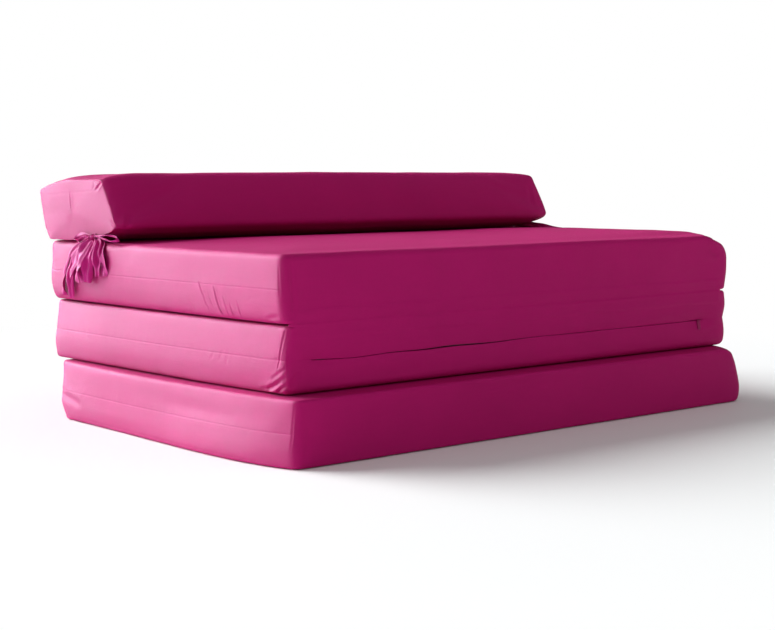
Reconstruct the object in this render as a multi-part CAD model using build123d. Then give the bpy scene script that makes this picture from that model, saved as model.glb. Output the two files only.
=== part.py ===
from build123d import *
import math
import os

# All sizes are in millimetres. X runs along the seat, -Y is the front, +Z is up.
# Places are first counted from the bottom block's front left corner on the floor.

# Foam blocks and their covers
block_length = 1000
block_width = 640
block_height = 99.2
stack_gap = 0.8
edge_radius = 12
corner_radius = 24
side_pinch = 3.5
pinch_left_over = 0.5
pinch_reach = 15
bulge_reach = 22
cover_thickness = 1.0
foam_clearance = 0.3
crown_height = 5
crown_start = 36
crown_flat_width = 88
crown_ring_shares = [(0, 0), (0.3, 0.5), (0.65, 0.85), (1, 1)]
edge_steps = 4

# How the blocks lie in the folded stack: the upper two are pushed back
stack_setback = 33
middle_shift = 10
top_shift = 4
bottom_end_bow = 18
middle_end_bow = 10
top_end_bow = 8

# Fold hinges
hinge_clearance = 1.0
leaf_end_margin = 30
rear_leaf_thickness = 0.3
rear_leaf_parting = 0.4
rear_leaf_lap = 30
front_leaf_thickness = 0.5
front_leaf_lap = 26

# Bolster, with its section counted from the rear of the upper blocks and the seat's top
bolster_shortfall = 10
bolster_seat_gap = 0.4
bolster_foam_clearance = 0.7
bolster_anchor = -53
bolster_rest = (-7, -73)
bolster_rear_low = (9, 20.5)
bolster_rear_high = (19, 51)
bolster_ear = (26.5, 76)
bolster_top_middle = (-65, 101.5)
bolster_top_front = (-168, 108.5)
bolster_front_low = (-220, 21)
bolster_under_middle = (-146, 5.5)
bolster_low_rear_radius = 9
bolster_bend_radius = 12
bolster_ear_radius = 7
bolster_top_front_radius = 13
bolster_front_low_radius = 8
bolster_ring_places = [0, 8, 30, 100]
bolster_ring_size_shares = [0.955, 0.98, 0.994, 1]

# Zips
block_zip_margin = 62
bolster_zip_margin = 145
middle_zip_start = 64
zip_slit = 3
strand_width = 2.6
strand_thickness = 2.0
strand_gap = 1.2
tape_thickness = 0.5
tape_width = 13
tape_step_start = 5.5
tape_step_end = 7
tape_clearance = 0.05
stop_length = 3
stop_cover = 0.3
channel_width = 30
channel_depth = 8
slider_plate = 1.0
slider_clearance = 0.2
slider_length = 11
slider_width = 9.2
slider_flange = 1.0
flange_overlap = 0.7
slider_web = 0.8
slider_web_length = 3
slider_end_room = 1.0
post_length = 2.4
post_width = 1.6
pin_radius = 0.7
pin_length = 8
pin_height = 2.2
eye_radius = 1.5
eye_clearance = 0.1
pull_length = 17
pull_width = 7.2
pull_thickness = 1.0
pull_slot_clearance = 0.3
pull_rest_angle = 8
pull_corner = 2.5

# Ties: ribbon ends knotted at both ends of the bolster
tie_from_rear = 145
tie_knot_height = 6.4
tie_ribbon = 0.6
tie_width = 10
tie_clearance = 0.3
knot_radius = 4
knot_length = 14
tie_ring_length = 10
panel_tab_height = 22
seat_tab_height = 35
loop_width = 8
loop_height = 10.4
front_loop_length = 66
rear_loop_length = 46
tail_pitch = 0.9
tail_gap = 1.2
tail_length = 100
tail_reach_shares = [(0.79, -0.86), (0.40, -0.73), (0.05, -0.61), (-0.35, -0.64), (-0.59, -0.77)]
tail_end_width = 15

# Overrun of cutting solids
overrun = 5

# Values worked out from the sizes above
pitch = block_height + stack_gap
half_height = block_height / 2
seat_level = 2 * pitch + block_height
upper_front = stack_setback
bottom_rear = block_width
upper_rear = stack_setback + block_width
rear_axis_y = (bottom_rear + upper_rear) / 2 + hinge_clearance
rear_axis_z = block_height + stack_gap / 2
front_axis_y = upper_front - hinge_clearance - front_leaf_thickness / 2
front_axis_z = pitch + block_height + stack_gap / 2
crown_reach = (block_width - crown_flat_width) / 2 - crown_start
bolster_length = block_length - bolster_shortfall
frame_x = block_length / 2
frame_y = (upper_rear + bolster_ear[0]) / 2
block_zip_length = block_length - 2 * block_zip_margin
bolster_zip_length = bolster_length - 2 * bolster_zip_margin
tie_y = upper_rear - tie_from_rear


def rise_at(inset):
    """Height of the crowned seat above its flat edge, at a distance in from the edge."""
    share = (inset - crown_start) / crown_reach
    for (reach_a, rise_a), (reach_b, rise_b) in zip(crown_ring_shares, crown_ring_shares[1:]):
        if reach_a <= share <= reach_b:
            part = (share - reach_a) / (reach_b - reach_a)
            return crown_height * (rise_a + part * (rise_b - rise_a))
    return 0


bolster_level = seat_level + rise_at(-bolster_rest[1]) + bolster_seat_gap


def plan_outline(inset, level, bow):
    """Plan of a block at one height: straight front and rear, bowed ends, round corners."""
    x = block_length / 2 - inset
    y = block_width / 2 - inset
    front = Line((-x, -y), (x, -y))
    right = ThreePointArc((x, -y), (x + bow, 0), (x, y))
    rear = Line((x, y), (-x, y))
    left = ThreePointArc((-x, y), (-x - bow, 0), (-x, -y))
    outline = make_face([front, right, rear, left])
    corner = max(corner_radius - inset, edge_radius)
    rounded = fillet(outline.vertices(), corner)
    return Pos(0, 0, level) * rounded


def half_rings(skin, crown):
    """Insets and heights of a half block's rings, from the side seam to the outer face."""
    height = half_height - skin
    edge = edge_radius - skin
    rings = [
        (skin + side_pinch, 0),
        (skin + pinch_left_over, pinch_reach),
        (skin, bulge_reach),
    ]
    for step in range(edge_steps + 1):
        angle = math.radians(90 * step / edge_steps)
        inset = skin + edge * (1 - math.cos(angle))
        rings.append((inset, height - edge + edge * math.sin(angle)))
    if crown:
        for reach_share, rise_share in crown_ring_shares:
            rings.append((crown_start + crown_reach * reach_share, height + crown * rise_share))
    return rings


def half_block(skin, bow, crown):
    """Half of a block above its side seam, as a loft with pinched sides and rounded edges."""
    return loft([plan_outline(inset, level, bow) for inset, level in half_rings(skin, crown)], ruled=True)


def half_cover(bow, crown):
    """Fabric shell over one half of a block, open at the seam."""
    return half_block(0, bow, crown) - half_block(cover_thickness, bow, crown)


def foam_core(bow, crown):
    """Foam of one block, both halves in one piece."""
    skin = cover_thickness + foam_clearance
    upper = half_block(skin, bow, crown)
    lower = mirror(half_block(skin, bow, 0), about=Plane.XY)
    return upper + lower


def block_place(shift, setback, level):
    """Move from a block's own middle to its place in the stack."""
    return Pos(shift + block_length / 2, setback + block_width / 2, level * pitch + half_height)


def bolster_outline(size_share, skin):
    """Section of the bolster: flat where it rests, drawn in towards the rest by its share."""
    rest_rear = (bolster_rest[0], 0)
    rest_front = (bolster_rest[1], 0)
    edges = [
        Line(rest_rear, rest_front),
        ThreePointArc(rest_front, bolster_under_middle, bolster_front_low),
        Line(bolster_front_low, bolster_top_front),
        ThreePointArc(bolster_top_front, bolster_top_middle, bolster_ear),
        Line(bolster_ear, bolster_rear_high),
        Line(bolster_rear_high, bolster_rear_low),
        Line(bolster_rear_low, rest_rear),
    ]
    outline = make_face(edges)
    rounds = [
        (rest_rear, bolster_low_rear_radius),
        (bolster_front_low, bolster_front_low_radius),
        (bolster_top_front, bolster_top_front_radius),
        (bolster_ear, bolster_ear_radius),
        (bolster_rear_high, bolster_bend_radius),
        (bolster_rear_low, bolster_bend_radius),
    ]
    for corner, radius in rounds:
        nearest = outline.vertices().sort_by_distance((*corner, 0))[0]
        outline = fillet(nearest, radius)
    if skin:
        outline = offset(outline, amount=-skin)
    centred = Pos(-bolster_anchor, 0, 0) * outline
    drawn_in = scale(centred, by=size_share)
    return Pos(bolster_anchor, 0, 0) * drawn_in


def bolster_section(place, size_share, skin):
    """Section of the bolster at a distance from its left end."""
    section_plane = Plane(origin=(place, upper_rear, bolster_level), x_dir=(0, 1, 0), z_dir=(1, 0, 0))
    return section_plane * bolster_outline(size_share, skin)


def bolster_form(skin, end_inset):
    """The whole bolster as a loft along its length, ending a given distance inside each end."""
    places = [max(place, end_inset) for place in bolster_ring_places]
    sections = [
        bolster_section(place, share, skin) for place, share in zip(places, bolster_ring_size_shares)
    ]
    for place, share in zip(reversed(places), reversed(bolster_ring_size_shares)):
        sections.append(bolster_section(bolster_length - place, share, skin))
    return loft(sections, ruled=True)


def box_between(low, high):
    """Box from its lowest corner to its highest corner."""
    size = [b - a for a, b in zip(low, high)]
    middle = [(a + b) / 2 for a, b in zip(low, high)]
    return Pos(*middle) * Box(*size)


# A zip is drawn in its own frame: X along it, Y across it and Z out of the cover.
# Z = 0 is the cover's outer surface at the bottom of the seam.
plate_top = -cover_thickness - foam_clearance
strand_top = plate_top - slider_plate - slider_clearance
strand_bottom = strand_top - strand_thickness
strand_middle = (strand_top + strand_bottom) / 2
plate_bottom = strand_bottom - slider_clearance - slider_plate
strand_outer = strand_gap / 2 + strand_width
cover_slope = (side_pinch - pinch_left_over) / pinch_reach


def zip_tapes(length, slope):
    """Two woven tapes: in line with the coils, then stepped up to lie behind the cover."""
    top = strand_middle + tape_thickness / 2
    bottom = strand_middle - tape_thickness / 2
    seat = -cover_thickness - tape_clearance
    points = [
        (strand_outer, bottom),
        (tape_step_start + tape_thickness, bottom),
        (tape_step_end + tape_thickness, seat + slope * tape_step_end - tape_thickness),
        (tape_width, seat + slope * tape_width - tape_thickness),
        (tape_width, seat + slope * tape_width),
        (tape_step_end, seat + slope * tape_step_end),
        (tape_step_start, top),
        (strand_outer, top),
    ]
    section = make_face(Polyline(points, close=True))
    placed = Plane.YZ * section
    upper = extrude(placed, amount=length)
    return [upper, mirror(upper, about=Plane.XZ)]


def zip_coils(length):
    """Two coil strands, one on each tape, with the slider's web between them."""
    upper = box_between((0, strand_gap / 2, strand_bottom), (length, strand_outer, strand_top))
    return [upper, mirror(upper, about=Plane.XZ)]


def zip_stops(length):
    """A clamped stop over both strands at each end."""
    low = strand_bottom - stop_cover
    high = strand_top + stop_cover
    first = box_between((-stop_length, -strand_outer, low), (0, strand_outer, high))
    return [first, Pos(length + stop_length, 0, 0) * first]


def zip_slider():
    """Slider with two plates, a web between the strands, edge flanges and the pull's pin."""
    x = slider_length / 2
    y = slider_width / 2
    front = box_between((-x, -y, plate_top - slider_plate), (x, y, plate_top))
    rear = box_between((-x, -y, plate_bottom), (x, y, plate_bottom + slider_plate))
    web = box_between(
        (-slider_web_length / 2, -slider_web / 2, plate_bottom + slider_plate),
        (slider_web_length / 2, slider_web / 2, plate_top - slider_plate),
    )
    post = box_between(
        (-post_length / 2, -post_width / 2, plate_top),
        (post_length / 2, post_width / 2, pin_height),
    )
    pin = Pos(0, 0, pin_height) * Rot(0, 90, 0) * Cylinder(pin_radius, pin_length)
    body = front + rear + web + post + pin
    for side in (-1, 1):
        inner = side * (y - slider_flange)
        low_y, high_y = sorted((inner, side * y))
        front_low = plate_top - slider_plate - flange_overlap
        rear_high = plate_bottom + slider_plate + flange_overlap
        body += box_between((-x, low_y, front_low), (x, high_y, plate_top - slider_plate))
        body += box_between((-x, low_y, plate_bottom + slider_plate), (x, high_y, rear_high))
    return body


def zip_pull():
    """Flat pull with two eyes on the slider's pin, lying just off the fabric below the zip."""
    x = pull_width / 2
    plate_outline = Pos(0, -pull_length / 2) * Rectangle(pull_width, pull_length)
    lower = plate_outline.vertices().sort_by(Axis.Y)[:2]
    plate = extrude(fillet(lower, pull_corner), amount=pull_thickness / 2, both=True)
    eyes = Rot(0, 90, 0) * Cylinder(eye_radius, pull_width)
    bore = Rot(0, 90, 0) * Cylinder(pin_radius + eye_clearance, pull_width + overrun)
    slot_x = post_length / 2 + pull_slot_clearance
    slot_y = eye_radius + pull_slot_clearance
    slot = box_between((-slot_x, -slot_y, -slot_y), (slot_x, slot_y, slot_y))
    pull = plate + eyes - bore - slot
    return Pos(0, 0, pin_height) * Rot(-pull_rest_angle, 0, 0) * pull


def zip_slit_cut(length):
    """Slit through the cover along the zip, with room for the slider's post at both ends."""
    return box_between(
        (-stop_length, -zip_slit / 2, -channel_depth),
        (length + stop_length, zip_slit / 2, overrun),
    )


def zip_channel_cut(length):
    """Room in the foam behind the zip."""
    return box_between(
        (-stop_length - overrun, -channel_width / 2, -channel_depth),
        (length + stop_length + overrun, channel_width / 2, overrun),
    )


def tie_pieces(side, panel_x, face_x):
    """Ribbons at one end, side -1 on the left and 1 on the right, outwards from the panel."""
    y = tie_y
    z = seat_level + tie_knot_height
    leg_low = seat_level + tie_clearance
    leg_high = leg_low + tie_ribbon
    half = tie_width / 2

    def span(near, far, low, high, wide=half):
        """Box between two distances out from the panel, across the tie and in height."""
        x_low, x_high = sorted((panel_x + side * near, panel_x + side * far))
        return box_between((x_low, y - wide, low), (x_high, y + wide, high))

    def rod(radius, near, far):
        """Round bar about the knot's axis between two distances out from the panel."""
        middle = panel_x + side * (near + far) / 2
        return Pos(middle, y, z) * Rot(0, 90, 0) * Cylinder(radius, far - near)

    face_out = side * (face_x - panel_x) + tie_clearance
    core_end = tie_clearance + knot_length
    ring_bore = knot_radius + tie_clearance
    knot = rod(knot_radius, tie_clearance, core_end)
    ring = rod(ring_bore + tie_ribbon, 0, tie_ring_length)
    tab = span(0, tie_ribbon, z, z + panel_tab_height)
    bolster_strap = ring + tab - rod(ring_bore, -overrun, tie_ring_length + overrun)
    riser_start = tie_ring_length + tie_clearance
    tails_end = face_out + tail_gap + len(tail_reach_shares) * tail_pitch
    leg_near = min(face_out, riser_start)
    leg_far = max(tails_end, core_end)
    leg = span(leg_near, leg_far, leg_low, leg_high)
    riser = span(riser_start, core_end, leg_low, z - knot_radius / 2)
    face_tab = span(face_out, face_out + tie_ribbon, seat_level - seat_tab_height, leg_high)
    seat_strap = leg + riser + face_tab - rod(knot_radius, 0, core_end + overrun)

    tails = []
    for number, (along_share, down_share) in enumerate(tail_reach_shares):
        along = tail_length * along_share
        down = tail_length * down_share
        near = face_out + tail_gap + number * tail_pitch
        low_x = min(panel_x + side * near, panel_x + side * (near + tie_ribbon))
        points = [
            (y - half, leg_low),
            (y + half, leg_low),
            (y + along + tail_end_width / 2, leg_low + down),
            (y + along - tail_end_width / 2, leg_low + down),
        ]
        tail_plane = Plane(origin=(low_x, 0, 0), x_dir=(0, 1, 0), z_dir=(1, 0, 0))
        tails.append(extrude(tail_plane * make_face(Polyline(points, close=True)), amount=tie_ribbon))

    loops = []
    loop_x = panel_x + side * core_end
    for along, length in ((-1, front_loop_length), (1, rear_loop_length)):
        centre = (loop_x, y + along * length / 2, z)
        loop_plane = Plane(origin=centre, x_dir=(0, 1, 0), z_dir=(side, 0, 0))
        band = SlotOverall(length, loop_height) - SlotOverall(
            length - 2 * tie_ribbon, loop_height - 2 * tie_ribbon
        )
        loops.append(extrude(loop_plane * band, amount=loop_width))
    return {
        "seat_strap": [seat_strap],
        "bolster_strap": [bolster_strap],
        "knot": [knot],
        "loops": loops,
        "tails": tails,
    }


def hinge_leaves():
    """Fabric leaves of both folds: the rear pair lies in the gap, the front pair on the faces."""
    left = middle_shift + leaf_end_margin
    right = block_length - leaf_end_margin
    rear_near = bottom_rear - rear_leaf_lap
    rear_far = rear_axis_y - rear_leaf_parting
    rear_lower = box_between(
        (left, rear_near, block_height), (right, rear_far, block_height + rear_leaf_thickness)
    )
    rear_upper = box_between((left, rear_near, pitch - rear_leaf_thickness), (right, rear_far, pitch))
    front_low = upper_front - front_leaf_thickness
    middle_top = pitch + block_height
    front_lower = box_between(
        (left, front_low, middle_top - front_leaf_lap), (right, upper_front, middle_top)
    )
    front_upper = box_between(
        (left, front_low, 2 * pitch), (right, upper_front, 2 * pitch + front_leaf_lap)
    )
    return rear_lower, rear_upper, front_lower, front_upper


def end_face_x(shift, bow, y_from_middle):
    """How far left the bowed left end of a block reaches at a distance from its middle."""
    return shift - bow * (1 - (2 * y_from_middle / block_width) ** 2)


def make_zip(nodes, name, zip_plane, length, slope):
    """All the pieces of one zip, closed, with its slider at the far end."""
    slider_x = length - slider_length / 2 - slider_end_room
    nodes[f"{name}_zip_tapes"] = [zip_plane * tape for tape in zip_tapes(length, slope)]
    nodes[f"{name}_zip_coils"] = [zip_plane * coil for coil in zip_coils(length)]
    nodes[f"{name}_zip_stops"] = [zip_plane * stop for stop in zip_stops(length)]
    nodes[f"{name}_zip_slider"] = [zip_plane * Pos(slider_x, 0, 0) * zip_slider()]
    nodes[f"{name}_zip_pull"] = [zip_plane * Pos(slider_x, 0, 0) * zip_pull()]


def front_zip_plane(x, y, z):
    """Frame of a zip on a front face, running to the right."""
    return Plane(origin=(x, y, z), x_dir=(1, 0, 0), z_dir=(0, -1, 0))


def rear_zip_plane(x, y, z):
    """Frame of a zip on a rear face, running to the left."""
    return Plane(origin=(x, y, z), x_dir=(-1, 0, 0), z_dir=(0, 1, 0))


def make_block(nodes, name, place, bow, crown, zip_plane):
    """One block: foam, two half covers and its zip in the seam."""
    upper = place * half_cover(bow, crown)
    lower = place * mirror(half_cover(bow, 0), about=Plane.XY)
    slit = zip_plane * zip_slit_cut(block_zip_length)
    nodes[f"{name}_foam"] = [place * foam_core(bow, crown) - zip_plane * zip_channel_cut(block_zip_length)]
    nodes[f"{name}_cover_upper"] = [upper - slit]
    nodes[f"{name}_cover_lower"] = [lower - slit]
    make_zip(nodes, name, zip_plane, block_zip_length, cover_slope)


def make_blocks(nodes):
    """The three blocks of the folded mattress."""
    rear_start = block_length / 2 + block_zip_length / 2
    bottom_zip = rear_zip_plane(rear_start, bottom_rear - side_pinch, half_height)
    middle_zip = front_zip_plane(middle_zip_start, upper_front + side_pinch, pitch + half_height)
    top_zip = rear_zip_plane(rear_start + top_shift, upper_rear - side_pinch, 2 * pitch + half_height)
    make_block(nodes, "bottom", block_place(0, 0, 0), bottom_end_bow, 0, bottom_zip)
    make_block(nodes, "middle", block_place(middle_shift, stack_setback, 1), middle_end_bow, 0, middle_zip)
    make_block(nodes, "top", block_place(top_shift, stack_setback, 2), top_end_bow, crown_height, top_zip)


def make_hinges(nodes):
    """The leaves, each on the cover that it is sewn to."""
    rear_lower, rear_upper, front_lower, front_upper = hinge_leaves()
    nodes["rear_hinge_lower_leaf"] = [rear_lower]
    nodes["rear_hinge_upper_leaf"] = [rear_upper]
    nodes["front_hinge_lower_leaf"] = [front_lower]
    nodes["front_hinge_upper_leaf"] = [front_upper]


def make_bolster(nodes):
    """The bolster: foam, sewn wrap, two end panels and a zip along its rear."""
    across = bolster_rear_high[0] - bolster_rear_low[0]
    upwards = bolster_rear_high[1] - bolster_rear_low[1]
    zip_y = upper_rear + (bolster_rear_high[0] + bolster_rear_low[0]) / 2
    zip_z = bolster_level + (bolster_rear_high[1] + bolster_rear_low[1]) / 2
    zip_x = (bolster_length + bolster_zip_length) / 2
    zip_plane = Plane(origin=(zip_x, zip_y, zip_z), x_dir=(-1, 0, 0), z_dir=(0, upwards, -across))
    wrap = bolster_form(0, cover_thickness) - bolster_form(cover_thickness, cover_thickness)
    skin = cover_thickness + bolster_foam_clearance
    nodes["bolster_foam"] = [bolster_form(skin, skin) - zip_plane * zip_channel_cut(bolster_zip_length)]
    nodes["bolster_wrap"] = [wrap - zip_plane * zip_slit_cut(bolster_zip_length)]
    end = bolster_section(0, bolster_ring_size_shares[0], 0)
    panel = extrude(end, amount=cover_thickness, dir=(1, 0, 0))
    nodes["bolster_end_panel_left"] = [panel]
    nodes["bolster_end_panel_right"] = [Pos(bolster_length - cover_thickness, 0, 0) * panel]
    make_zip(nodes, "bolster", zip_plane, bolster_zip_length, 0)


def make_ties(nodes):
    """Tied ribbons at both ends of the bolster."""
    y_from_middle = block_width / 2 - tie_from_rear
    left_face = end_face_x(top_shift, top_end_bow, y_from_middle)
    right_face = 2 * top_shift + block_length - left_face
    for name, side, panel_x, face_x in (
        ("left", -1, 0, left_face),
        ("right", 1, bolster_length, right_face),
    ):
        for piece, solids in tie_pieces(side, panel_x, face_x).items():
            nodes[f"{name}_tie_{piece}"] = solids


def main():
    nodes = {}
    make_blocks(nodes)
    make_hinges(nodes)
    make_bolster(nodes)
    make_ties(nodes)
    os.makedirs("parts", exist_ok=True)
    to_frame = Pos(-frame_x, -frame_y, 0)
    for name, solids in nodes.items():
        placed = [to_frame * solid for solid in solids]
        shape = placed[0] if len(placed) == 1 else Compound(children=placed)
        export_step(shape, f"parts/{name}.step")
    print(f"{len(nodes)} nodes")
    print(f"rear fold line y {rear_axis_y - frame_y:.3f} z {rear_axis_z:.3f}")
    print(f"front fold line y {front_axis_y - frame_y:.3f} z {front_axis_z:.3f}")
    print(f"tie axis y {tie_y - frame_y:.3f} z {seat_level + tie_knot_height:.3f}")
    print(f"bolster rests at z {bolster_level:.3f}")


main()
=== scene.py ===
import itertools
import math

import bmesh
import bpy
import numpy as np
from mathutils import Matrix, Vector, noise
from mathutils.bvhtree import BVHTree

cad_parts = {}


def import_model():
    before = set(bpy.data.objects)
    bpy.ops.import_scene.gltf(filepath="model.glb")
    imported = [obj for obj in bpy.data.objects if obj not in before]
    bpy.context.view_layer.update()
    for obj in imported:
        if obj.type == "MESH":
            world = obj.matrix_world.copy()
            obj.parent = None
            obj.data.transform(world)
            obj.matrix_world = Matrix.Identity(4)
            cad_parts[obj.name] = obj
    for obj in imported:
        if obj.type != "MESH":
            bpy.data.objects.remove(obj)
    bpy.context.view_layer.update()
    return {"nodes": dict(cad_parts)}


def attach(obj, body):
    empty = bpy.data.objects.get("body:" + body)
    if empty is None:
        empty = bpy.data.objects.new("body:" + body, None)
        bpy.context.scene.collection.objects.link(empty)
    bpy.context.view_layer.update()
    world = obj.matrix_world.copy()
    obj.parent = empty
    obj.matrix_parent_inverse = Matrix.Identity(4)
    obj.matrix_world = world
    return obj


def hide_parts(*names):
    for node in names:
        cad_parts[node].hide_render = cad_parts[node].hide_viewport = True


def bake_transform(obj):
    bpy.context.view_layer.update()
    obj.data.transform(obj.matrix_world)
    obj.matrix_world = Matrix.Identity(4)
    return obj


# Lengths are in millimetres, counted from the bottom block's front left corner on the floor,
# and turn into metres in the object's frame when a mesh is made
MM = 0.001
ORIGIN = np.array([500, 349.75, 0])

# Foam blocks: each lies a pitch over the one below it
BLOCK_LENGTH = 1000
BLOCK_WIDTH = 640
BLOCK_HEIGHT = 99.2
HALF_LENGTH = BLOCK_LENGTH / 2
HALF_WIDTH = BLOCK_WIDTH / 2
HALF_HEIGHT = BLOCK_HEIGHT / 2
PITCH = 100
SEAT_LEVEL = 2 * PITCH + BLOCK_HEIGHT
SETBACK = 33
UPPER_REAR = SETBACK + BLOCK_WIDTH

# Rounding of a block's edges and of its rear left corner near the bottom
EDGE = 5
FRONT_EDGE_REACH = 30
LOW_CORNER_HEIGHT = 34

# How far the seams are drawn in: all round, and beside a zip's pull
SEAM_PINCH = 0.1
PINCH_REACH = 13
PULL_DENT = 5
PULL_DENT_REACH = 22

# Tops: the seat's crown and its rise to the right, and the droop of a front right corner
CROWN = 5
CROWN_START = 30
CROWN_REACH = 240
RIGHT_LIFT_SPAN = (150, 280)
DROOP_REACH = 50

# Room left for what touches a block: its neighbours, the leaves of the folds and the bolster
CONTACT_MARGIN = 0.15
FACE_ROOM = 0.4
FOLD_REST_ROOM = 0.5
FOLD_STRIP_WIDTH = 18
FOLD_STRIP_REACH = 60
SEAT_REST_ROOM = 1
SEAT_REST_SPAN = (420, 60)

# Grids: distances from an edge and from a seam, the spacing elsewhere and the later levels
EDGE_LINES = [0, 2.5, 5, 10, 20, 34]
SEAM_LINES = [0, 1.5, 5, 13, 25]
GRID_SPACING = 12.5
FINE_PARTS = 3
SECTION_SPACING = 9
REFINEMENT = 2

# Seam line and gathers beside it; a face counts as front or zip side from this normal on
SEAM_DEPTH = 0.24
SEAM_REACH = 1.1
FRONT_SEAM_SHARE = 0.25
FACING = 0.7
GATHER_DEPTH = 0.09
GATHER_REACH = 9
GATHER_SIZE = 3.1
GATHER_WANDER = 60
GATHER_SEED = 4

# Unevenness: its size, the size of its features, and its seed or what it adds to the seed
SIDE_UNEVENNESS = [(1.5, 120, 0), (0.5, 38, 1)]
SEAT_UNEVENNESS = [(1.6, 200, 3), (0.35, 45, 4)]
BOLSTER_UNEVENNESS = [(1.6, 150, 31), (0.5, 50, 32)]
EDGE_WAVE_SCALE = 110
SEED_SHIFT = (17.3, 5.1, 11.7)

# Shape of a crease across, in widths, how crooked it is, and where a side's creases fade out
CREASE_LIP = 0.45
CREASE_LIP_PLACE = 1.9
CREASE_WANDER = 1.4
CREASE_WANDER_SCALE = 26
CREASE_SEEDS = (71, 72)
SIDE_TURN = 0.5
SIDE_SHARPNESS = 3

# Bolster: its section is counted from the rear of the upper blocks and the seat's top, and
# each corner has its rounding; the zip is on the line that starts at corner 1
BOLSTER_LENGTH = 990
BOLSTER_LEVEL = 300.885
BOLSTER_ANCHOR = -53
BOLSTER_CORNERS = [
    ((-7, 0), 9),
    ((9, 20.5), 12),
    ((19, 51), 12),
    ((26.5, 76), 7),
    ((-65, 103.5), 150),
    ((-168, 108.5), 13),
    ((-220, 21), 11),
    ((-146, 4.5), 60),
    ((-73, 0), 40),
]
BOLSTER_ZIP_SEGMENT = 1
ZIP_SECTION_STEPS = (-5, -1.5, 0, 1.5, 5)

# A rounded corner takes up to a share of its shorter side, in steps of about so many radians
CORNER_SHARE = 0.46
CORNER_STEP = 0.4

# The bolster's rings near each end and the size of its section there, then inwards on the panel
BOLSTER_RINGS = [0, 2.5, 6, 12, 24, 44, 70, 100]
BOLSTER_RING_SHARES = [0.942, 0.963, 0.976, 0.985, 0.991, 0.996, 0.999, 1]
BOLSTER_PANEL_SHARES = [0.97, 0.9, 0.78, 0.62, 0.42, 0.2]
BOLSTER_PANEL_BULGE = 3.5

# The bolster's ends: longer above at the right, a raised ear at the rear left, a lower panel
# edge at the front left and a tuck at the low front corners
BOLSTER_RIGHT_MORE = 15
BOLSTER_MORE_SPAN = (6, 24)
BOLSTER_EAR = BOLSTER_CORNERS[3][0]
BOLSTER_EAR_OUT = 8
BOLSTER_EAR_LIFT = 11
BOLSTER_EAR_REACH = 85
BOLSTER_EAR_START = -150
BOLSTER_FRONT_TOP = BOLSTER_CORNERS[5][0][1]
BOLSTER_PANEL_DROP = 1.5
BOLSTER_PANEL_REACH = 12
BOLSTER_PANEL_START = -20
BOLSTER_LOW_CORNER = (-216, 20)
BOLSTER_LOW_TUCK = 4
BOLSTER_LOW_REACH = 26
BOLSTER_END_REACH = 14

# Where the bolster rests on the seat, and where it is held while it swells
BOLSTER_REST_SPAN = (560, 40)
BOLSTER_REST_HEIGHT = 9
BOLSTER_REST_FADE = 8
BOLSTER_FRONT_GAP = 1
BOLSTER_HELD_START = 585
BOLSTER_HELD_HEIGHT = 2

# Zips: length, lip and half width of the slit, closed and open, and how it wanders
ZIP_LENGTH = 876
ZIP_LIP = 1.0
SLIT_HALF = 0.28
SLIT_OPEN_HALF = 1.15
SLIT_WANDER = 2.6
SLIT_WANDER_SCALE = 95
BOLSTER_ZIP_ENDS = (145, 845)
BOLSTER_OPENINGS = [(834, 8)]
ZIP_NAMES = ("bottom", "middle", "top", "bolster")
ZIP_PARTS = {"tapes": "tape", "coils": "coil", "stops": "metal", "slider": "metal", "pull": "metal"}

# Cloth simulation: how far the covers may swell, and from where on the seat they are held
SWELL_FRAMES = 20
SWELL_PRESSURE = 4
BLOCK_SWELL = 1.3
BOLSTER_SWELL = 5
SEAT_HELD_START = 60

# Creases: the side, where each starts and ends on it (along and up), its width and its depth
BOTTOM_CREASES = [
    ("left", (560, 30), (640, 45), 6, 1.4),
    ("left", (120, 62), (300, 66), 9, 0.8),
    ("left", (7, 90), (11, 20), 1.2, 0.4),
    ("front", (14, 15), (22, 60), 4, 0.8),
    ("front", (300, 84), (560, 80), 9, 1.2),
    ("front", (700, 30), (880, 36), 10, 0.9),
]
MIDDLE_CREASES = [
    ("left", (160, 158), (166, 134), 2.2, 0.6),
    ("left", (176, 154), (182, 138), 2.2, 0.5),
    ("left", (196, 152), (203, 136), 2.2, 0.5),
    ("left", (41, 192), (52, 128), 1.3, 0.6),
    ("left", (38, 124), (78, 105), 2.6, 2.4),
    ("left", (37, 138), (66, 120), 2.2, 1.5),
    ("left", (36, 116), (58, 103), 2.2, 1.6),
    ("left", (50, 116), (92, 104), 3, 1.0),
    ("front", (14, 112), (30, 132), 5, 2.2),
    ("front", (940, 118), (985, 128), 5, 1.6),
    ("front", (120, 120), (330, 124), 9, 1.0),
]
TOP_CREASES = [
    ("left", (228, 254), (204, 212), 1.5, 1.1),
    ("left", (206, 240), (192, 215), 1.3, 0.9),
    ("left", (190, 248), (174, 204), 1.5, 1.3),
    ("left", (168, 234), (158, 204), 1.3, 1.0),
    ("left", (153, 224), (146, 203), 1.3, 0.9),
    ("left", (136, 230), (128, 203), 1.3, 0.8),
    ("left", (214, 222), (200, 206), 1.3, 0.8),
    ("left", (182, 218), (170, 203), 1.3, 0.9),
    ("left", (262, 230), (246, 212), 1.5, 0.6),
    ("left", (250, 216), (238, 206), 1.5, 0.5),
    ("left", (100, 236), (112, 228), 1.6, 0.4),
    ("left", (630, 266), (664, 262), 1.6, 0.35),
    ("left", (636, 248), (664, 252), 1.6, 0.3),
    ("left", (41, 286), (40, 240), 1.1, 0.4),
    ("left", (46, 212), (72, 208), 3, 0.9),
    ("front", (16, 286), (20, 214), 4, 1.2),
    ("front", (960, 280), (990, 262), 6, 1.5),
]
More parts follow.
